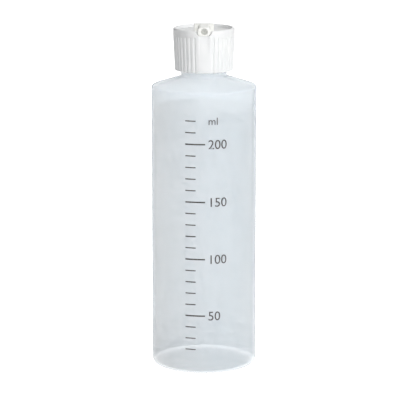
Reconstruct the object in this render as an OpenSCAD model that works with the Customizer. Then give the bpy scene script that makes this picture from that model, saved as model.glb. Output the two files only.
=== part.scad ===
// Camping fuel bottle: a translucent cylinder bottle closed by a ribbed screw
// cap whose pouring spout lies folded in a channel and flips upright.
// Origin at the centre of the base, +Z up, the spout's tip towards -Y.

/* [Bottle body] */
// Outside diameter of the body
body_d = 50; // [44:0.5:60]
// Thickness of the blown wall
wall = 1.0; // [0.8:0.1:1.4]
// Outside radius where the wall turns into the base
base_corner_r = 3.3; // [2.5:0.1:5]
// Height of the push-up in the middle of the base
base_lift = 1.6; // [0.8:0.1:2.4]
// Height at which the straight wall ends
shoulder_z = 136.1; // [110:0.1:160]
// Rise of the shoulder above the horizontal, in degrees
shoulder_angle = 18.4; // [16:0.1:19]
// Rounding of the edge between wall and shoulder
shoulder_r = 0.8; // [0.4:0.1:2]

/* [Neck] */
// Outside radius of the neck below and between the threads
neck_r = 10.85; // [10.7:0.05:10.95]
// Radius of the neck's bore
neck_bore_r = 9.2; // [8.6:0.05:9.3]
// Height of the finish from shoulder to sealing lip
finish_h = 17.9; // [17.6:0.1:18.2]
// Rounding at the root of the neck
neck_root_r = 1.2; // [0.8:0.1:1.5]

/* [Cap] */
// Outside radius at the lower edge of the skirt
skirt_r = 13.85; // [13.6:0.05:14]
// Outside radius of the smooth band round the top
band_r = 14.6; // [14.5:0.05:15]
// Radius of the bore that takes the threaded neck
skirt_bore_r = 12.05; // [12:0.05:12.2]
// Overall height of the cap without the spout
cap_h = 20.05; // [19.5:0.05:20.5]
// Height of the smooth band above the grip
band_h = 3.9; // [3.5:0.1:4.4]
// Rounding of the top edge
top_edge_r = 0.75; // [0.4:0.05:0.9]
// Width of the rim round the sunk deck
rim_w = 1.4; // [1.1:0.05:1.8]
// Depth of the deck below the rim
deck_drop = 1.55; // [1.3:0.05:1.6]

/* [Grip] */
// Number of equal steps round the skirt
grip_steps = 44; // [40:2:48]
// Steps left smooth on the front, under the spout
front_steps = 4; // [2:2:6]
// Radius of the cutter that makes one groove
groove_r = 0.6; // [0.45:0.05:0.65]
// Depth of one groove
groove_depth = 0.42; // [0.3:0.02:0.5]
// Length of a groove's pointed upper end
groove_point = 1.2; // [0.6:0.1:2]

/* [Spout] */
// Radius of the pivot hub
hub_r = 4.5; // [4.4:0.05:4.6]
// Length of the pivot hub across the cap
hub_w = 9.4; // [9:0.1:9.8]
// Height of the pivot above the bottle's sealing lip
pivot_rise = 1.5; // [1.45:0.05:1.6]
// Height of the nozzle's middle above the pivot
nozzle_rise = 2.25; // [2.2:0.05:2.3]
// Width of the nozzle
nozzle_w = 6.0; // [5:0.1:6.2]
// Height of the nozzle
nozzle_h = 4.2; // [4:0.1:4.4]
// Rounding of the nozzle's four long edges
nozzle_edge_r = 1.7; // [1:0.1:1.9]
// Distance from the pivot to the tip
nozzle_reach = 14.4; // [14:0.1:14.5]
// Radius of the pouring bore
pour_r = 1.5; // [1.3:0.1:1.6]
// Length of the pouring bore from the tip
pour_depth = 9; // [7:0.5:9.5]
// Radius of the throat that leads to it from the hub
throat_r = 1.25; // [1:0.05:1.4]
// Radius of the inlet and of the orifice under it
inlet_r = 1.3; // [1:0.1:1.4]
// Slant of the inlet and orifice from straight down
inlet_slant = 25; // [20:1:30]

/* [Seal] */
// Thickness of the sealing liner
liner_t = 0.8; // [0.7:0.1:0.9]
// Inside radius of the sealing liner
liner_in_r = 8.4; // [8.2:0.1:8.6]
// Outside radius of the sealing liner
liner_out_r = 11.7; // [11.3:0.1:11.8]

/* [Hidden] */
$fn = 96;

// Running gap round the hub, and the thickness of its cup
hub_gap = 0.05;
hub_end_gap = 0.1;
cup_t = 0.9;
// Half width of the spout's channel, the rounding along its floor, and half
// the width of the thumb panel under the tip
channel_half_w = 3.8;
channel_edge_r = 2.4;
panel_half_w = 2.55;
panel_depth = 0.53;
// Thickness of the base, and the radii where its push-up starts and ends
base_t = 1.4;
lift_r0 = 10;
lift_r1 = 19.5;
lip_r = 0.4;
far = 40;

body_r = body_d / 2;
shoulder_tilt = 90 - shoulder_angle;
// Where the shoulder's cone starts, on the end of the edge's rounding
cone_r0 = body_r - shoulder_r + shoulder_r * cos(shoulder_tilt);
cone_z0 = shoulder_z + shoulder_r * sin(shoulder_tilt);
function cone_z(r) = cone_z0 + (cone_r0 - r) * tan(shoulder_angle);
// Middle of the rounding at the neck's root, tangent to cone and neck
root_cr = neck_r + neck_root_r;
root_cz = cone_z(root_cr - neck_root_r * cos(shoulder_tilt))
        + neck_root_r * sin(shoulder_tilt);

lip_z = cone_z(neck_r) + 1.1 + finish_h;
deck_under_z = lip_z + liner_t;
cap_top_z = lip_z + 4.05;
cap_z = cap_top_z - cap_h;
band_z = cap_top_z - band_h;
deck_z = cap_top_z - deck_drop;
pivot_z = lip_z + pivot_rise;
nozzle_z = pivot_z + nozzle_rise;
channel_z = nozzle_z - nozzle_h / 2 - 0.1;
socket_r = hub_r + hub_gap;
socket_w = hub_w + 2 * hub_end_gap;
grip_angle = 360 / grip_steps;
grip_tilt = atan((band_r - skirt_r) / (band_z - cap_z));

// Points along an arc, from angle a0 to a1
function arc(cr, cz, r, a0, a1, n = 10) =
    [for (i = [0:n]) let (a = a0 + (a1 - a0) * i / n) [cr + r * cos(a), cz + r * sin(a)]];

// Height of the base's push-up at a radius
function lift(r) = base_lift * (0.5 + 0.5 * cos(180 * (r - lift_r0) / (lift_r1 - lift_r0)));

// Underside of the base, offset upwards for its inner face
function base_line(up, n = 12) = concat(
    [[0, base_lift + up]],
    [for (i = [0:n]) let (r = lift_r0 + (lift_r1 - lift_r0) * i / n) [r, lift(r) + up]]);

// Outside and inside outlines of the bottle, from the axis to the lip
outer_line = concat(
    base_line(0),
    arc(body_r - base_corner_r, base_corner_r, base_corner_r, -90, 0),
    arc(body_r - shoulder_r, shoulder_z, shoulder_r, 0, shoulder_tilt),
    arc(root_cr, root_cz, neck_root_r, 180 + shoulder_tilt, 180),
    arc(neck_r - lip_r, lip_z - lip_r, lip_r, 0, 90, 4));

inner_corner_r = base_corner_r - wall + 0.6;
inner_line = concat(
    base_line(base_t),
    arc(body_r - wall - inner_corner_r, base_t + inner_corner_r, inner_corner_r, -90, 0),
    [[body_r - wall, shoulder_z - wall * 0.2],
     [neck_bore_r + 1.4, cone_z(neck_bore_r + 1.4) - 1.3 * wall],
     [neck_bore_r, cone_z(neck_bore_r) - 0.4 * wall],
     [neck_bore_r, lip_z - lip_r]],
    arc(neck_bore_r + lip_r, lip_z - lip_r, lip_r, 180, 90, 4));

function reversed(v) = [for (i = [len(v) - 1:-1:0]) v[i]];

module bottle() {
    color([0.84, 0.88, 0.90])
    rotate_extrude()
    polygon(concat(outer_line, reversed(inner_line)));
}

module liner() {
    color([0.93, 0.93, 0.90])
    translate([0, 0, lip_z])
    difference() {
        cylinder(r = liner_out_r, h = liner_t);
        translate([0, 0, -1]) cylinder(r = liner_in_r, h = liner_t + 2);
    }
}

// Skirt, smooth band, rim and sunk deck in one turned outline
module cap_shell() {
    rotate_extrude()
    polygon(concat(
        [[skirt_bore_r + 0.3, cap_z]],
        arc(skirt_r - 0.25, cap_z + 0.25, 0.25, -90, 0, 4),
        [[band_r, band_z]],
        arc(band_r - top_edge_r, cap_top_z - top_edge_r, top_edge_r, 0, 90),
        arc(band_r - rim_w + 0.25, cap_top_z - 0.25, 0.25, 90, 180, 3),
        [[band_r - rim_w, deck_z], [0, deck_z], [0, deck_under_z],
         [skirt_bore_r, deck_under_z], [skirt_bore_r, cap_z + 0.3]]));
}

// Trough under the deck that holds the hub and carries the orifice
module hub_cup() {
    intersection() {
        translate([0, 0, pivot_z])
        rotate([0, 90, 0])
        cylinder(r = socket_r + cup_t, h = socket_w + 2 * cup_t, center = true);
        translate([-far, -far, deck_under_z + 0.3 - far]) cube([2 * far, 2 * far, far]);
    }
}

// One groove of the grip, with a pointed upper end, on the +X side
module groove() {
    translate([skirt_r + groove_r - groove_depth, 0, cap_z])
    rotate([0, grip_tilt, 0]) {
        translate([0, 0, -2]) cylinder(r = groove_r, h = band_z - cap_z + 2, $fn = 24);
        translate([0, 0, band_z - cap_z])
        cylinder(r1 = groove_r, r2 = 0, h = groove_point, $fn = 24);
    }
}

module grip_grooves() {
    first = front_steps / 2;
    for (i = [first:grip_steps - first])
        rotate([0, 0, i * grip_angle - 90]) groove();
}

// Cross section of the spout's channel, with a rounded floor
module channel_section() {
    side = channel_half_w - channel_edge_r;
    for (x = [-side, side]) translate([x, channel_edge_r]) circle(r = channel_edge_r);
    translate([-side, 0]) square([2 * side, far]);
    translate([-channel_half_w, channel_edge_r]) square([2 * channel_half_w, far]);
}

// Room for the hub, the folded nozzle and the upright nozzle's back
module spout_space() {
    translate([0, 0, pivot_z])
    rotate([0, 90, 0])
    cylinder(r = socket_r, h = socket_w, center = true);
    translate([0, 0, channel_z])
    rotate([90, 0, 0])
    linear_extrude(height = far) channel_section();
    translate([-nozzle_w / 2 - 0.3, 0, pivot_z])
    cube([nozzle_w + 0.6, nozzle_rise + nozzle_h / 2 + 0.25, far]);
}

module cap_body() {
    color([0.94, 0.95, 0.95])
    difference() {
        union() {
            cap_shell();
            hub_cup();
        }
        grip_grooves();
        spout_space();
        translate([0, 0, pivot_z])
        rotate([180 - inlet_slant, 0, 0])
        cylinder(r = inlet_r, h = socket_r + cup_t + 2);
        translate([-panel_half_w, -far - band_r + panel_depth, cap_z + 2])
        cube([2 * panel_half_w, far, channel_z - cap_z]);
    }
}

// Cross section of the nozzle: a rounded bar, wider than high
module nozzle_section() {
    x0 = nozzle_w / 2 - nozzle_edge_r;
    z0 = nozzle_h / 2 - nozzle_edge_r;
    for (x = [-x0, x0], z = [-z0, z0]) translate([x, z]) circle(r = nozzle_edge_r);
    square([nozzle_w, 2 * z0], center = true);
    square([2 * x0, nozzle_h], center = true);
}

module spout() {
    color([0.92, 0.93, 0.85])
    translate([0, 0, pivot_z])
    difference() {
        union() {
            rotate([0, 90, 0]) cylinder(r = hub_r, h = hub_w, center = true);
            translate([0, 0, nozzle_rise])
            rotate([90, 0, 0])
            linear_extrude(height = nozzle_reach) nozzle_section();
        }
        translate([0, pour_depth - nozzle_reach, nozzle_rise])
        rotate([90, 0, 0])
        cylinder(r = pour_r, h = pour_depth + 1);
        translate([0, 1, nozzle_rise])
        rotate([90, 0, 0])
        cylinder(r = throat_r, h = nozzle_reach - 1);
        rotate([-90 - inlet_slant, 0, 0])
        translate([0, 0, -3])
        cylinder(r = inlet_r, h = hub_r + 4);
    }
}

bottle();
liner();
cap_body();
spout();
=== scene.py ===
import math

import bmesh
import bpy
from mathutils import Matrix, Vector


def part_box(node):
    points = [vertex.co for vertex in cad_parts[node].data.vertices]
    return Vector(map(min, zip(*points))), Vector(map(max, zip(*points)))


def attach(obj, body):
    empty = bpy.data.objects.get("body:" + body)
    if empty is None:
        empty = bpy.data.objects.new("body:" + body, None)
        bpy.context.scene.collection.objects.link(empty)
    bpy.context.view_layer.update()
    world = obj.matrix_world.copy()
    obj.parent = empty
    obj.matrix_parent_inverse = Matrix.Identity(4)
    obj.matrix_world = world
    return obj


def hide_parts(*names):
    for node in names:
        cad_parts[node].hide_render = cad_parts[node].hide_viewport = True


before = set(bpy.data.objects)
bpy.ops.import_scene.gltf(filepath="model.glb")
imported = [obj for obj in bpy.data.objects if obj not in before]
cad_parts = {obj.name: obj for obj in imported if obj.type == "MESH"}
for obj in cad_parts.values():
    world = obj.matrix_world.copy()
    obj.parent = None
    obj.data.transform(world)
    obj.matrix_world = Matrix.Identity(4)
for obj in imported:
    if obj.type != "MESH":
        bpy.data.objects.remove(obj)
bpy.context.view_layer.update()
mm = 0.001


# The bottle is natural polyethylene, blown as one wall from the foot to the
# sealing lip. It stands on a narrow ring round a shallow push-up.
bottle_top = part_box("bottle")[1]
body_r = bottle_top.x
lip_z = bottle_top.z
neck_r = 10.85 * mm
neck_bore_r = 9.2 * mm
wall = 1.0 * mm
shoulder_slope = math.radians(18.4)
neck_foot_z = lip_z - 19.0 * mm
shoulder_z = neck_foot_z - (body_r - neck_r) * math.tan(shoulder_slope)
push_up = 1.6 * mm
base_wall = 1.4 * mm


def select_where(piece, test, kind="verts"):
    """Selects the parts of the piece in edit mode whose place passes the test."""
    shape = bmesh.from_edit_mesh(piece.data)
    bpy.ops.mesh.select_all(action="DESELECT")
    for part in getattr(shape, kind):
        if kind == "verts":
            place = part.co
        elif kind == "edges":
            place = (part.verts[0].co + part.verts[1].co) / 2
        else:
            place = part.calc_center_median()
        if test(place):
            part.select_set(True)
    shape.select_flush_mode()
    bmesh.update_edit_mesh(piece.data)


def start_from_point(name, place):
    """Adds one point, ready in edit mode to be extruded into an outline."""
    bpy.ops.object.select_all(action="DESELECT")
    bpy.ops.mesh.primitive_plane_add(size=mm, location=place)
    piece = bpy.context.object
    piece.name = name
    bpy.ops.object.transform_apply(location=True, rotation=True, scale=True)
    bpy.ops.object.mode_set(mode="EDIT")
    bpy.ops.mesh.select_all(action="SELECT")
    bpy.ops.mesh.merge(type="CENTER")
    return piece


def draw_outline(piece, outline, closed):
    """Extrudes the point along (radius, height, rounding) and rounds the corners."""
    for here, there in zip(outline, outline[1:]):
        move = (there[0] - here[0], 0, there[1] - here[1])
        bpy.ops.mesh.extrude_region_move(TRANSFORM_OT_translate={"value": move})
    if closed:
        bpy.ops.mesh.select_all(action="SELECT")
        bpy.ops.mesh.edge_face_add()
        bpy.ops.mesh.delete(type="ONLY_FACE")
    for radius, height, rounding in [p for p in outline if p[2] > 0]:
        corner = Vector((radius, 0, height))
        select_where(piece, lambda co: (co - corner).length < 0.01 * mm)
        bpy.ops.mesh.bevel(offset=rounding, segments=8, affect="VERTICES")


def close_up(piece):
    """Merges the seam, turns the faces outwards and smooths the round faces."""
    bpy.ops.mesh.select_all(action="SELECT")
    bpy.ops.mesh.remove_doubles(threshold=0.002 * mm)
    bpy.ops.mesh.normals_make_consistent(inside=False)
    bpy.ops.object.mode_set(mode="OBJECT")
    bpy.ops.object.shade_smooth_by_angle(angle=math.radians(35))


def turned(name, outline, steps=160, closed=False):
    """Spins an outline of (radius, height, rounding) about the bottle's axis."""
    piece = start_from_point(name, (outline[0][0], 0, outline[0][1]))
    draw_outline(piece, outline, closed)
    bpy.ops.mesh.select_all(action="SELECT")
    bpy.ops.mesh.spin(steps=steps, angle=2 * math.pi, center=(0, 0, 0), axis=(0, 0, 1))
    close_up(piece)
    return piece


bottle = turned("bottle_wall", [
    (0, push_up, 0),
    (11 * mm, push_up, 3 * mm),
    (19.6 * mm, 0, 1.2 * mm),
    (body_r, 0, 3.3 * mm),
    (body_r, shoulder_z, 0.8 * mm),
    (neck_r, neck_foot_z, 0.9 * mm),
    (neck_r, lip_z, 0.4 * mm),
    (neck_bore_r, lip_z, 0.4 * mm),
    (neck_bore_r, neck_foot_z - 0.4 * mm, 0.9 * mm),
    (body_r - wall, shoulder_z - 0.8 * mm, 1.5 * mm),
    (body_r - wall, base_wall, 2.9 * mm),
    (19.6 * mm, base_wall, 1.2 * mm),
    (11 * mm, push_up + base_wall, 3 * mm),
    (0, push_up + base_wall, 0),
])
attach(bottle, "bottle")
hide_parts("bottle")


def skin_group():
    """The look that all moulded plastic here shares: a faint cloudiness in the
    colour, an uneven gloss, and the grain that the mould leaves."""
    group = bpy.data.node_groups.new("plastic_skin", "ShaderNodeTree")
    for name, kind in (
        ("Colour", "NodeSocketColor"),
        ("Cloud Colour", "NodeSocketColor"),
        ("Cloud Scale", "NodeSocketFloat"),
        ("Roughness Low", "NodeSocketFloat"),
        ("Roughness High", "NodeSocketFloat"),
        ("Grain Scale", "NodeSocketFloat"),
    ):
        group.interface.new_socket(name, in_out="INPUT", socket_type=kind)
    for name, kind in (
        ("Colour", "NodeSocketColor"),
        ("Roughness", "NodeSocketFloat"),
        ("Cloud", "NodeSocketFloat"),
        ("Height", "NodeSocketFloat"),
    ):
        group.interface.new_socket(name, in_out="OUTPUT", socket_type=kind)
    inside = group.nodes.new("NodeGroupInput")
    out = group.nodes.new("NodeGroupOutput")
    place = group.nodes.new("ShaderNodeTexCoord")
    join = group.links.new

    cloud = group.nodes.new("ShaderNodeTexNoise")
    cloud.inputs["Detail"].default_value = 3
    join(place.outputs["Object"], cloud.inputs["Vector"])
    join(inside.outputs["Cloud Scale"], cloud.inputs["Scale"])
    spread = group.nodes.new("ShaderNodeMapRange")
    spread.inputs["From Min"].default_value = 0.35
    spread.inputs["From Max"].default_value = 0.65
    join(cloud.outputs["Fac"], spread.inputs["Value"])
    tint = group.nodes.new("ShaderNodeMix")
    tint.data_type = "RGBA"
    join(spread.outputs["Result"], tint.inputs["Factor"])
    join(inside.outputs["Colour"], tint.inputs[6])
    join(inside.outputs["Cloud Colour"], tint.inputs[7])

    patch = group.nodes.new("ShaderNodeTexNoise")
    patch.inputs["Scale"].default_value = 420
    patch.inputs["Detail"].default_value = 4
    join(place.outputs["Object"], patch.inputs["Vector"])
    gloss = group.nodes.new("ShaderNodeMapRange")
    gloss.inputs["From Min"].default_value = 0.35
    gloss.inputs["From Max"].default_value = 0.65
    join(patch.outputs["Fac"], gloss.inputs["Value"])
    join(inside.outputs["Roughness Low"], gloss.inputs["To Min"])
    join(inside.outputs["Roughness High"], gloss.inputs["To Max"])

    grain = group.nodes.new("ShaderNodeTexNoise")
    grain.inputs["Detail"].default_value = 2
    join(place.outputs["Object"], grain.inputs["Vector"])
    join(inside.outputs["Grain Scale"], grain.inputs["Scale"])

    join(tint.outputs[2], out.inputs["Colour"])
    join(gloss.outputs["Result"], out.inputs["Roughness"])
    join(spread.outputs["Result"], out.inputs["Cloud"])
    join(grain.outputs["Fac"], out.inputs["Height"])
    return group


plastic_skin = skin_group()


def moulded_plastic(name, colour, cloud_colour, cloud_scale, gloss, grain_scale, grain_depth):
    """A material with one Principled shader that wears the plastic skin. It
    returns the material, its nodes, the shader, the skin and the bump."""
    material = bpy.data.materials.new(name)
    material.use_nodes = True
    tree = material.node_tree
    shader = tree.nodes["Principled BSDF"]
    skin = tree.nodes.new("ShaderNodeGroup")
    skin.node_tree = plastic_skin
    skin.inputs["Colour"].default_value = (*colour, 1)
    skin.inputs["Cloud Colour"].default_value = (*cloud_colour, 1)
    skin.inputs["Cloud Scale"].default_value = cloud_scale
    skin.inputs["Roughness Low"].default_value = gloss[0]
    skin.inputs["Roughness High"].default_value = gloss[1]
    skin.inputs["Grain Scale"].default_value = grain_scale
    bump = tree.nodes.new("ShaderNodeBump")
    bump.inputs["Strength"].default_value = 0.6
    bump.inputs["Distance"].default_value = grain_depth
    tree.links.new(skin.outputs["Colour"], shader.inputs["Base Color"])
    tree.links.new(skin.outputs["Roughness"], shader.inputs["Roughness"])
    tree.links.new(skin.outputs["Height"], bump.inputs["Height"])
    tree.links.new(bump.outputs["Normal"], shader.inputs["Normal"])
    return material, tree, shader, skin, bump


def lit_through(shader, weight, depth):
    """Lets light spread through the plastic for about the given depth."""
    shader.inputs["Subsurface Weight"].default_value = weight
    shader.inputs["Subsurface Radius"].default_value = (1.0, 1.0, 1.0)
    shader.inputs["Subsurface Scale"].default_value = depth


def veiled(tree, shader, skin, face_on, edge_on):
    """Makes the wall see-through, less so where it is seen at a slant and has
    more plastic to look through, and a little unevenly."""
    slant_view = tree.nodes.new("ShaderNodeLayerWeight")
    slant_view.inputs["Blend"].default_value = 0.5
    veil = tree.nodes.new("ShaderNodeMapRange")
    veil.interpolation_type = "SMOOTHSTEP"
    veil.inputs["From Min"].default_value = 0.6
    veil.inputs["From Max"].default_value = 1.0
    veil.inputs["To Min"].default_value = face_on
    veil.inputs["To Max"].default_value = edge_on
    uneven = tree.nodes.new("ShaderNodeMath")
    uneven.operation = "MULTIPLY_ADD"
    uneven.inputs[1].default_value = 0.015
    tree.links.new(slant_view.outputs["Facing"], veil.inputs["Value"])
    tree.links.new(skin.outputs["Cloud"], uneven.inputs[0])
    tree.links.new(veil.outputs["Result"], uneven.inputs[2])
    tree.links.new(uneven.outputs[0], shader.inputs["Alpha"])


# Blown polyethylene lets light through. Its wall shows drawn-out vertical
# bands, and the two halves of the mould leave a fine line down each side.
milky, tree, shader, skin, bump = moulded_plastic(
    "milky_polyethylene", (0.585, 0.695, 0.77), (0.575, 0.687, 0.765), 45,
    (0.42, 0.52), 2600, 0.012 * mm)
lit_through(shader, 1.0, 1.5 * mm)
veiled(tree, shader, skin, 0.34, 0.54)

place = tree.nodes.new("ShaderNodeTexCoord")
drawn = tree.nodes.new("ShaderNodeMapping")
drawn.inputs["Scale"].default_value = (1, 1, 0.06)
bands = tree.nodes.new("ShaderNodeTexNoise")
bands.inputs["Scale"].default_value = 260
bands.inputs["Detail"].default_value = 2
split = tree.nodes.new("ShaderNodeSeparateXYZ")
off_plane = tree.nodes.new("ShaderNodeMath")
off_plane.operation = "ABSOLUTE"
mould_line = tree.nodes.new("ShaderNodeMapRange")
mould_line.interpolation_type = "SMOOTHSTEP"
mould_line.inputs["From Min"].default_value = 0.05 * mm
mould_line.inputs["From Max"].default_value = 0.22 * mm
mould_line.inputs["To Min"].default_value = 3.0
mould_line.inputs["To Max"].default_value = 0.0
banded = tree.nodes.new("ShaderNodeMath")
banded.operation = "MULTIPLY_ADD"
banded.inputs[1].default_value = 1.0
lined = tree.nodes.new("ShaderNodeMath")
tree.links.new(place.outputs["Object"], drawn.inputs["Vector"])
tree.links.new(drawn.outputs["Vector"], bands.inputs["Vector"])
tree.links.new(place.outputs["Object"], split.inputs["Vector"])
tree.links.new(split.outputs["Y"], off_plane.inputs[0])
tree.links.new(off_plane.outputs[0], mould_line.inputs["Value"])
tree.links.new(bands.outputs["Fac"], banded.inputs[0])
tree.links.new(skin.outputs["Height"], banded.inputs[2])
tree.links.new(banded.outputs[0], lined.inputs[0])
tree.links.new(mould_line.outputs["Result"], lined.inputs[1])
tree.links.new(lined.outputs[0], bump.inputs["Height"])
bottle.data.materials.append(milky)

# The inside of the wall, wet with fuel, hardly shows, so it wears a thinner veil of
# the same plastic. The foot wears it too as painted light, so the shade under the
# bottle doesn't darken it.
wet_wall_and_unshaded_foot, tree, shader, skin, bump = moulded_plastic(
    "milky_inside", (0.585, 0.695, 0.77), (0.575, 0.687, 0.765), 45,
    (0.42, 0.52), 2600, 0.004 * mm)
lit_through(shader, 1.0, 1.5 * mm)
veiled(tree, shader, skin, 0.05, 0.1)
bottle.data.materials.append(wet_wall_and_unshaded_foot)
middle = Vector((0, 0, shoulder_z / 2))
# Painted light: faces below the push-up take the thin veil, so the shade under the bottle leaves
# them pale.
for face in bottle.data.polygons:
    if face.normal.dot(middle - face.center) > 0 or face.center.z < push_up:
        face.material_index = 1


# The neck carries one and a half turns of blown thread for the cap: a rounded
# ridge that fades into the neck at both ends.
pitch = 3.175 * mm


def thread(name, root_r, crest_r, foot_z, half_root, half_crest):
    """Winds a ridge one and a half turns up the axis and fades its ends."""
    piece = start_from_point(name, (root_r, 0, foot_z - half_root))
    draw_outline(piece, [
        (root_r, foot_z - half_root, 0),
        (crest_r, foot_z - half_crest, 0.22 * mm),
        (crest_r, foot_z + half_crest, 0.22 * mm),
        (root_r, foot_z + half_root, 0),
    ], closed=True)
    bpy.ops.object.mode_set(mode="OBJECT")
    wind = piece.modifiers.new("wind", "SCREW")
    wind.angle = 3 * math.pi
    wind.screw_offset = 1.5 * pitch
    wind.steps = 180
    wind.render_steps = 180
    bpy.ops.object.modifier_apply(modifier=wind.name)
    bpy.ops.object.mode_set(mode="EDIT")
    for ring in range(8):
        keep = (ring + 0.4) / 8.4
        step = ring / 180

        def at_end(co, step=step):
            turn = (co.z - foot_z) / (1.5 * pitch)
            angle = math.atan2(co.y, co.x) % (2 * math.pi)
            low = abs(angle - step * 3 * math.pi) < 0.01 and turn < 0.3
            high = abs(angle - (1 - step) * 3 * math.pi + 2 * math.pi) < 0.01 and turn > 0.7
            return (low or high) and abs(math.hypot(co.x, co.y) - root_r) > 0.05 * mm

        select_where(piece, at_end)
        shrink = (root_r + keep * (crest_r - root_r)) / crest_r
        bpy.ops.transform.resize(value=(shrink, shrink, 1), center_override=(0, 0, 0))
    bpy.ops.mesh.select_all(action="SELECT")
    bpy.ops.mesh.fill_holes(sides=0)
    close_up(piece)
    return piece


thread_foot_z = lip_z - 7.2 * mm
neck_thread = thread("neck_thread", neck_r - 0.15 * mm, 11.8 * mm, thread_foot_z,
                     1.05 * mm, 0.5 * mm)
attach(neck_thread, "bottle")
neck_thread.data.materials.append(milky)


# Where the mould pinched the soft tube shut, a low scar crosses the push-up.
bpy.ops.object.select_all(action="DESELECT")
bpy.ops.mesh.primitive_cube_add(size=1, location=(0, 0, push_up - 0.12 * mm))
pinch = bpy.context.object
pinch.name = "pinch_off_scar"
pinch.scale = (19 * mm, 0.9 * mm, 0.5 * mm)
bpy.ops.object.transform_apply(location=True, rotation=True, scale=True)
bpy.ops.object.mode_set(mode="EDIT")
select_where(pinch, lambda co: co.z < push_up - 0.2 * mm)
bpy.ops.transform.resize(value=(0.94, 0.35, 1), center_override=(0, 0, push_up))
bpy.ops.mesh.select_all(action="SELECT")
bpy.ops.mesh.bevel(offset=0.1 * mm, segments=3)
close_up(pinch)
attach(pinch, "bottle")
pinch.data.materials.append(wet_wall_and_unshaded_foot)


# The fuel fills the bottle to just below the shoulder. It wets the wall, so its
# level turns up at the edge. Its dark veil is painted shade for the light the fuel
# bends away: heaviest on the upright side that faces +X, toward the key lamp.
fuel_z = 125.4 * mm
fuel_r = body_r - wall - 0.06 * mm
fuel_floor = base_wall + 0.06 * mm
fuel = turned("fuel", [
    (0, push_up + fuel_floor, 0),
    (11 * mm, push_up + fuel_floor, 3 * mm),
    (19.6 * mm, fuel_floor, 1.2 * mm),
    (fuel_r, fuel_floor, 2.9 * mm),
    (fuel_r, fuel_z + 0.9 * mm, 0),
    (fuel_r - 0.5 * mm, fuel_z + 0.25 * mm, 0.3 * mm),
    (fuel_r - 2 * mm, fuel_z, 0.5 * mm),
    (0, fuel_z, 0),
])
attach(fuel, "bottle")
spirit, tree, shader, skin, bump = moulded_plastic(
    "spirit", (0.15, 0.19, 0.23), (0.16, 0.20, 0.24), 30, (0.05, 0.09), 60, 0.002 * mm)
shader.inputs["IOR"].default_value = 1.36
place = tree.nodes.new("ShaderNodeTexCoord")
split = tree.nodes.new("ShaderNodeSeparateXYZ")
# Painted shade: the veil thickens with the normal's X, is darkest on the side toward the key lamp,
# and fades out on the level.
lamp_side_shade = tree.nodes.new("ShaderNodeMapRange")
lamp_side_shade.inputs["From Min"].default_value = -1.0
lamp_side_shade.inputs["To Min"].default_value = 0.03
lamp_side_shade.inputs["To Max"].default_value = 0.17
fuel_shade_veil = tree.nodes.new("ShaderNodeMapRange")
fuel_shade_veil.inputs["From Min"].default_value = 0.3
fuel_shade_veil.inputs["From Max"].default_value = 0.9
fuel_shade_veil.inputs["To Max"].default_value = 0.01
side = tree.nodes.new("ShaderNodeNewGeometry")
going_in = tree.nodes.new("ShaderNodeMapRange")
going_in.inputs["To Min"].default_value = 1.0
going_in.inputs["To Max"].default_value = 0.1
both = tree.nodes.new("ShaderNodeMath")
both.operation = "MULTIPLY"
tree.links.new(place.outputs["Normal"], split.inputs["Vector"])
tree.links.new(split.outputs["X"], lamp_side_shade.inputs["Value"])
tree.links.new(lamp_side_shade.outputs["Result"], fuel_shade_veil.inputs["To Min"])
tree.links.new(split.outputs["Z"], fuel_shade_veil.inputs["Value"])
tree.links.new(side.outputs["Backfacing"], going_in.inputs["Value"])
tree.links.new(fuel_shade_veil.outputs["Result"], both.inputs[0])
tree.links.new(going_in.outputs["Result"], both.inputs[1])
tree.links.new(both.outputs[0], shader.inputs["Alpha"])
fuel.data.materials.append(spirit)


# A plain scale of the contents is printed up the front in black ink: a line
# every 10 millilitres and a number every 50.
ink_r = body_r + 0.012 * mm
ink_t = 0.01 * mm


def level_z(millilitres):
    """Height at which the bottle holds that much."""
    return 2.05 * mm + millilitres * 1000 * mm / (math.pi * 24 ** 2)


marks = []
for millilitres in range(20, 230, 10):
    tall = millilitres % 50 == 0
    length = (9.5 if tall else 5) * mm
    thick = (0.65 if tall else 0.5) * mm
    bpy.ops.object.select_all(action="DESELECT")
    bpy.ops.mesh.primitive_cube_add(
        size=1, location=(-9 * mm + length / 2, 0, level_z(millilitres)))
    mark = bpy.context.object
    mark.scale = (length, ink_t, thick)
    bpy.ops.object.transform_apply(location=True, rotation=True, scale=True)
    bpy.ops.object.mode_set(mode="EDIT")
    bpy.ops.mesh.select_all(action="SELECT")
    bpy.ops.mesh.subdivide(number_cuts=5)
    bpy.ops.object.mode_set(mode="OBJECT")
    marks.append(mark)
for words, height, size in (
    ("50", level_z(50), 6.2), ("100", level_z(100), 6.2), ("150", level_z(150), 6.2),
    ("200", level_z(200), 6.2), ("ml", level_z(220), 5),
):
    bpy.ops.object.select_all(action="DESELECT")
    bpy.ops.object.text_add(
        location=(1.8 * mm, 0, height - 0.35 * size * mm), rotation=(math.pi / 2, 0, 0))
    mark = bpy.context.object
    mark.data.body = words
    mark.data.size = size * mm
    mark.data.extrude = ink_t / 2
    bpy.ops.object.convert(target="MESH")
    bpy.ops.object.transform_apply(location=True, rotation=True, scale=True)
    marks.append(mark)
bpy.ops.object.select_all(action="DESELECT")
for mark in marks:
    mark.select_set(True)
bpy.context.view_layer.objects.active = marks[0]
bpy.ops.object.join()
scale_print = bpy.context.object
scale_print.name = "level_scale"
for point in scale_print.data.vertices:
    turn = point.co.x / ink_r
    reach = ink_r - point.co.y
    point.co.x = reach * math.sin(turn)
    point.co.y = -reach * math.cos(turn)
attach(scale_print, "bottle")
ink, tree, shader, skin, bump = moulded_plastic(
    "black_ink", (0.022, 0.021, 0.022), (0.045, 0.044, 0.046), 700,
    (0.42, 0.6), 5200, 0.003 * mm)
scale_print.data.materials.append(ink)


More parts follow.
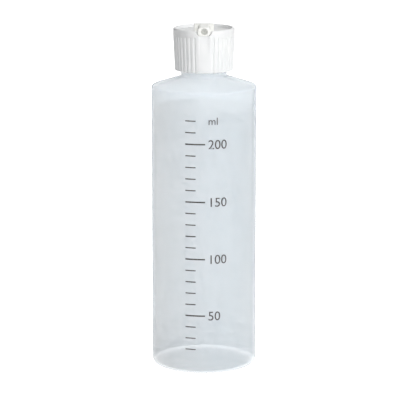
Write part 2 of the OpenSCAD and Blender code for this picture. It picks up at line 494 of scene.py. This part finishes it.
# The liner is a thin ring of foamed polyethylene that sits in the cap and
# seals on the bottle's lip.
liner_low, liner_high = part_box("liner")
liner_bore_r = 8.4 * mm
liner = turned("liner_ring", [
    (liner_bore_r, liner_low.z, 0.1 * mm),
    (liner_high.x, liner_low.z, 0.1 * mm),
    (liner_high.x, liner_high.z, 0.1 * mm),
    (liner_bore_r, liner_high.z, 0.1 * mm),
], steps=96, closed=True)
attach(liner, "liner")
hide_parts("liner")
foam, tree, shader, skin, bump = moulded_plastic(
    "foamed_polyethylene", (0.84, 0.84, 0.80), (0.78, 0.78, 0.73), 900,
    (0.6, 0.8), 3800, 0.05 * mm)
lit_through(shader, 0.6, 0.6 * mm)
liner.data.materials.append(foam)


# The cap is white polypropylene in one moulding: a skirt with grooves for the
# grip, a smooth band, and a rim round a sunk deck with the spout's channel.
skirt_r = 13.85 * mm
band_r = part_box("cap_body")[1].x
skirt_bore_r = 12.05 * mm
cap_low_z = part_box("cap_body")[0].z
cap_top_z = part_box("cap_body")[1].z
band_z = cap_top_z - 3.9 * mm
deck_z = cap_top_z - 1.55 * mm
deck_under_z = lip_z + 0.8 * mm
rim_in_r = band_r - 1.4 * mm
pivot_z = lip_z + 1.5 * mm
nozzle_z = pivot_z + 2.25 * mm
channel_z = nozzle_z - 2.2 * mm
socket_r = 4.55 * mm
socket_w = 9.6 * mm
panel_y = -band_r + 0.62 * mm
grooves = 40
columns = 12
groove_rises = (0.2 * mm, 0.4 * mm, 0.6 * mm, 0.8 * mm)

cap = turned("cap_moulding", [
    (0, deck_z, 0),
    (rim_in_r, deck_z, 0.2 * mm),
    (rim_in_r, cap_top_z, 0.25 * mm),
    (band_r, cap_top_z, 0.75 * mm),
    *[(band_r, band_z + rise, 0) for rise in reversed(groove_rises)],
    (band_r, band_z, 0),
    (skirt_r, cap_low_z, 0.25 * mm),
    (skirt_bore_r + 0.3 * mm, cap_low_z, 0),
    (skirt_bore_r, cap_low_z + 0.3 * mm, 0),
    (skirt_bore_r, deck_under_z, 0.3 * mm),
    (0, deck_under_z, 0),
], steps=grooves * columns)


def groove_depth(column, rise):
    """Depth of a groove beside its middle, and up its pointed end."""
    radius = 0.6 * mm * (1 - max(rise, 0) / (1.2 * mm))
    beside = column * 2 * math.pi * 14.2 * mm / (grooves * columns)
    return math.sqrt(max(radius ** 2 - beside ** 2, 0)) - 0.18 * mm


def in_groove(co, column, low, high):
    """Whether a point of the skirt lies on that column of any groove."""
    if not (low < co.z < high and math.hypot(co.x, co.y) > 13.2 * mm):
        return False
    step = math.degrees(math.atan2(co.x, -co.y)) / (360 / grooves)
    beside = abs(step - round(step)) * columns
    return abs(beside - column) < 0.3 and abs(round(step)) >= 2


bpy.ops.object.mode_set(mode="EDIT")
levels = [(0, cap_low_z - mm, band_z + 0.05 * mm)]
levels += [(r, band_z + r - 0.05 * mm, band_z + r + 0.05 * mm) for r in groove_rises]
for rise, low, high in levels:
    for column in range(4):
        depth = groove_depth(column, rise)
        if depth > 0:
            select_where(cap, lambda co: in_groove(co, column, low, high))
            shrink = 1 - depth / (14.2 * mm)
            bpy.ops.transform.resize(value=(shrink, shrink, 1), center_override=(0, 0, 0))
bpy.ops.object.mode_set(mode="OBJECT")


def block(low, high, rounding=0, test=None):
    """Adds a block between two corners and rounds the edges that pass the test."""
    bpy.ops.object.select_all(action="DESELECT")
    middle = [(a + b) / 2 for a, b in zip(low, high)]
    bpy.ops.mesh.primitive_cube_add(size=1, location=middle)
    piece = bpy.context.object
    piece.scale = [b - a for a, b in zip(low, high)]
    bpy.ops.object.transform_apply(location=True, rotation=True, scale=True)
    if rounding:
        bpy.ops.object.mode_set(mode="EDIT")
        bpy.ops.mesh.select_mode(type="EDGE")
        select_where(piece, test, "edges")
        bpy.ops.mesh.bevel(offset=rounding, segments=10)
        bpy.ops.mesh.select_mode(type="VERT")
        bpy.ops.object.mode_set(mode="OBJECT")
    return piece


def round_bar(radius, length, middle, turn=(0, 0, 0), rounding=0):
    """Adds a cylinder with rounded ends."""
    bpy.ops.object.select_all(action="DESELECT")
    bpy.ops.mesh.primitive_cylinder_add(
        vertices=96, radius=radius, depth=length, location=middle, rotation=turn)
    piece = bpy.context.object
    if rounding:
        ends = piece.modifiers.new("ends", "BEVEL")
        ends.width = rounding
        ends.segments = 4
        ends.limit_method = "ANGLE"
        bpy.ops.object.modifier_apply(modifier=ends.name)
    bpy.ops.object.transform_apply(location=True, rotation=True, scale=True)
    return piece


def work_in(piece, tool, operation="DIFFERENCE"):
    """Cuts the tool out of the piece, or adds it on, and takes the tool away."""
    bpy.ops.object.select_all(action="DESELECT")
    bpy.context.view_layer.objects.active = piece
    piece.select_set(True)
    change = piece.modifiers.new("change", "BOOLEAN")
    change.object = tool
    change.operation = operation
    change.solver = "EXACT"
    bpy.ops.object.modifier_apply(modifier=change.name)
    bpy.data.objects.remove(tool, do_unlink=True)


across = (0, math.pi / 2, 0)
cup = round_bar(socket_r + 0.9 * mm, socket_w + 1.8 * mm, (0, 0, pivot_z), across, 0.3 * mm)
work_in(cup, block((-9 * mm, -9 * mm, deck_under_z + 0.3 * mm), (9 * mm, 9 * mm, 170 * mm)))
work_in(cap, cup, "UNION")
work_in(cap, round_bar(socket_r, socket_w, (0, 0, pivot_z), across))
work_in(cap, block(
    (-3.8 * mm, -20 * mm, channel_z), (3.8 * mm, 0, channel_z + 9 * mm), 2.4 * mm,
    lambda co: co.z < channel_z + 0.1 * mm and abs(co.x) > 3.7 * mm))
work_in(cap, block((-3.3 * mm, 0, pivot_z), (3.3 * mm, 4.6 * mm, pivot_z + 9 * mm)))
slant = math.radians(155)
hole_dir = Vector((0, -math.sin(slant), math.cos(slant)))
hole_mid = Vector((0, 0, pivot_z)) + 3.8 * mm * hole_dir
work_in(cap, round_bar(1.3 * mm, 7.6 * mm, hole_mid, (slant, 0, 0)))
work_in(cap, block(
    (-2.45 * mm, -20 * mm, cap_low_z + 2 * mm),
    (2.45 * mm, panel_y, channel_z + 2 * mm), 0.12 * mm,
    lambda co: abs(co.x) > 2.4 * mm and abs(co.y - panel_y) < 0.01 * mm))
bpy.ops.object.select_all(action="DESELECT")
cap.select_set(True)
bpy.context.view_layer.objects.active = cap
bpy.ops.object.shade_smooth_by_angle(angle=math.radians(32))
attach(cap, "cap")
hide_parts("cap_body")
white, tree, shader, skin, bump = moulded_plastic(
    "white_polypropylene", (0.87, 0.875, 0.875), (0.84, 0.85, 0.855), 160,
    (0.28, 0.38), 4200, 0.008 * mm)
lit_through(shader, 0.4, 1 * mm)
cap.data.materials.append(white)

cap_thread = thread("cap_thread", skirt_bore_r + 0.12 * mm, 11.1 * mm,
                    thread_foot_z - pitch / 2, 0.95 * mm, 0.4 * mm)
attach(cap_thread, "cap")
cap_thread.data.materials.append(white)


# The spout is natural polypropylene in one moulding: a hub that snaps into the
# deck's socket, and a nozzle whose bore meets the cup's hole when it stands up.
hub_r = 4.5 * mm
hub_w = 9.4 * mm
tip_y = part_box("spout")[0].y
nozzle_half_w = 3.0 * mm
nozzle_half_h = 2.1 * mm
spout = round_bar(hub_r, hub_w, (0, 0, pivot_z), across, 0.25 * mm)
spout.name = "spout_moulding"
nozzle = block(
    (-nozzle_half_w, tip_y, nozzle_z - nozzle_half_h), (nozzle_half_w, 0, nozzle_z + nozzle_half_h),
    1.7 * mm, lambda co: abs(co.x) > 2.9 * mm and abs(co.z - nozzle_z) > 2 * mm)
bpy.ops.object.mode_set(mode="EDIT")
bpy.ops.mesh.select_mode(type="EDGE")
select_where(nozzle, lambda co: co.y < tip_y + 0.01 * mm, "edges")
bpy.ops.mesh.bevel(offset=0.3 * mm, segments=4)
bpy.ops.mesh.select_mode(type="VERT")
bpy.ops.object.mode_set(mode="OBJECT")
work_in(spout, nozzle, "UNION")
along = (math.pi / 2, 0, 0)
work_in(spout, round_bar(1.5 * mm, 10 * mm, (0, tip_y + 4 * mm, nozzle_z), along))
work_in(spout, round_bar(1.25 * mm, 13.4 * mm, (0, -5.7 * mm, nozzle_z), along))
bpy.ops.object.select_all(action="DESELECT")
bpy.ops.mesh.primitive_cone_add(
    vertices=96, radius1=1.95 * mm, radius2=1.45 * mm, depth=0.5 * mm,
    location=(0, tip_y + 0.05 * mm, nozzle_z), rotation=(-math.pi / 2, 0, 0))
mouth = bpy.context.object
bpy.ops.object.transform_apply(location=True, rotation=True, scale=True)
work_in(spout, mouth)
slant = math.radians(-115)
inlet_dir = Vector((0, -math.sin(slant), math.cos(slant)))
inlet_mid = Vector((0, 0, pivot_z)) + 1.25 * mm * inlet_dir
work_in(spout, round_bar(1.3 * mm, 8.5 * mm, inlet_mid, (slant, 0, 0)))
bpy.ops.object.select_all(action="DESELECT")
spout.select_set(True)
bpy.context.view_layer.objects.active = spout
bpy.ops.object.shade_smooth_by_angle(angle=math.radians(32))
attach(spout, "spout")
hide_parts("spout")
natural, tree, shader, skin, bump = moulded_plastic(
    "natural_polypropylene", (0.93, 0.935, 0.90), (0.915, 0.92, 0.88), 220,
    (0.36, 0.48), 3600, 0.008 * mm)
lit_through(shader, 0.2, 1.5 * mm)
path = tree.nodes.new("ShaderNodeLightPath")
inner_light = tree.nodes.new("ShaderNodeMath")
inner_light.operation = "MAXIMUM"
shade = tree.nodes.new("ShaderNodeMapRange")
shade.inputs["To Min"].default_value = 1.0
shade.inputs["To Max"].default_value = 0.3
tree.links.new(path.outputs["Is Shadow Ray"], inner_light.inputs[0])
tree.links.new(path.outputs["Is Diffuse Ray"], inner_light.inputs[1])
tree.links.new(inner_light.outputs[0], shade.inputs["Value"])
tree.links.new(shade.outputs["Result"], shader.inputs["Alpha"])
spout.data.materials.append(natural)


# The object stands on a plain white floor in soft studio light: a large soft
# lamp to the right, one in front, weak ones above and behind, and a dim room.
bpy.ops.object.select_all(action="DESELECT")
bpy.ops.mesh.primitive_plane_add(size=12, location=(0, 0, 0))
floor = bpy.context.object
floor.name = "floor"
paper = bpy.data.materials.new("white_paper")
paper.use_nodes = True
tree = paper.node_tree
shader = tree.nodes["Principled BSDF"]
shader.inputs["Base Color"].default_value = (0.8, 0.8, 0.8, 1)
shader.inputs["Roughness"].default_value = 0.9
floor.data.materials.append(paper)
glow = tree.nodes.new("ShaderNodeEmission")
path = tree.nodes.new("ShaderNodeLightPath")
seen = tree.nodes.new("ShaderNodeMath")
seen.operation = "MAXIMUM"
tree.links.new(path.outputs["Is Camera Ray"], seen.inputs[0])
tree.links.new(path.outputs["Is Glossy Ray"], seen.inputs[1])
both = tree.nodes.new("ShaderNodeMath")
both.operation = "MAXIMUM"
tree.links.new(seen.outputs[0], both.inputs[0])
tree.links.new(path.outputs["Is Transmission Ray"], both.inputs[1])
level = tree.nodes.new("ShaderNodeMath")
level.operation = "MULTIPLY"
level.inputs[1].default_value = 0.9
tree.links.new(both.outputs[0], level.inputs[0])
tree.links.new(level.outputs[0], glow.inputs["Strength"])
lit = tree.nodes.new("ShaderNodeAddShader")
tree.links.new(shader.outputs[0], lit.inputs[0])
tree.links.new(glow.outputs[0], lit.inputs[1])
tree.links.new(lit.outputs[0], tree.nodes["Material Output"].inputs["Surface"])

world = bpy.data.worlds.new("pale_room")
bpy.context.scene.world = world
world.use_nodes = True
tree = world.node_tree
room = tree.nodes["Background"]
room.inputs["Color"].default_value = (1, 1, 1, 1)
path = tree.nodes.new("ShaderNodeLightPath")
seen = tree.nodes.new("ShaderNodeMath")
seen.operation = "MAXIMUM"
tree.links.new(path.outputs["Is Camera Ray"], seen.inputs[0])
tree.links.new(path.outputs["Is Transmission Ray"], seen.inputs[1])
strength = tree.nodes.new("ShaderNodeMapRange")
strength.inputs["To Min"].default_value = 0.15
strength.inputs["To Max"].default_value = 1.0
tree.links.new(seen.outputs[0], strength.inputs["Value"])
tree.links.new(strength.outputs[0], room.inputs["Strength"])


def soft_lamp(name, place, size, power):
    """A square lamp that faces the middle of the bottle."""
    bpy.ops.object.light_add(type="AREA", location=place)
    lamp = bpy.context.object
    lamp.name = name
    lamp.data.size = size
    lamp.data.energy = power
    aim = Vector((0, 0, 0.1)) - Vector(place)
    lamp.rotation_euler = aim.to_track_quat("-Z", "Y").to_euler()
    return lamp


soft_lamp("key_lamp", (1.05, -0.75, 0.75), 0.9, 8.6)
soft_lamp("fill_lamp", (0.2, -1.35, 0.55), 0.9, 10.2)
soft_lamp("top_lamp", (-0.05, 0.1, 1.2), 0.8, 3.5)
soft_lamp("back_lamp", (0.1, 1.35, 0.6), 0.9, 2.8)

bpy.ops.object.camera_add(location=(-1.91 * mm, -1.0058, 0.2984))
camera = bpy.context.object
camera.rotation_euler = (math.radians(90 - 12.21), 0, 0)
camera.data.sensor_fit = "HORIZONTAL"
camera.data.angle = math.radians(10.694)
camera.data.clip_start = 0.05
bpy.context.scene.camera = camera
bpy.context.scene.view_settings.view_transform = "Standard"
